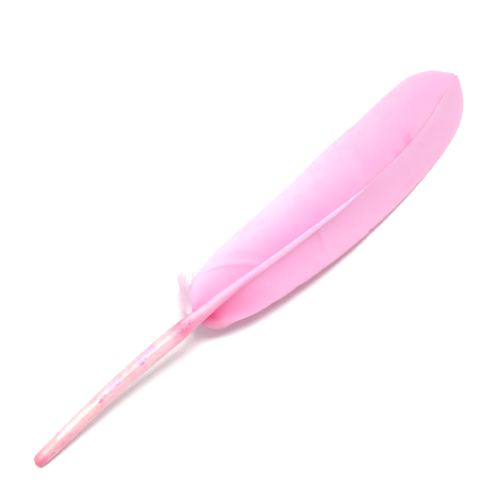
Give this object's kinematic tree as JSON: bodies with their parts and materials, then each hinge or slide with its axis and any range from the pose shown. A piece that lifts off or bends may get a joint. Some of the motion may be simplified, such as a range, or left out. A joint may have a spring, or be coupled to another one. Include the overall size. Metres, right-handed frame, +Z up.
{
  "type": "goose quill feather",
  "caption": "Dyed pink goose wing quill: hollow see-through quill, arched shaft, a broad and a narrow vane, and loose down at the foot, lying with its back up.",
  "frame": {"origin": "on the surface, under the middle of the whole feather's box", "axes": "+X from the quill's tip to the vane's tip, +Y towards the broad vane, +Z up from the surface the feather lies on"},
  "size_m": [0.1816, 0.0334, 0.0127],
  "materials": {
    "quill": "satin",
    "vane": "matte",
    "down": "matte"
  },
  "bodies": {
    "root": {"quill_shaft": "quill", "broad_vane": "vane", "narrow_vane": "vane", "down_tuft": "down"}
  },
  "joints": []
}
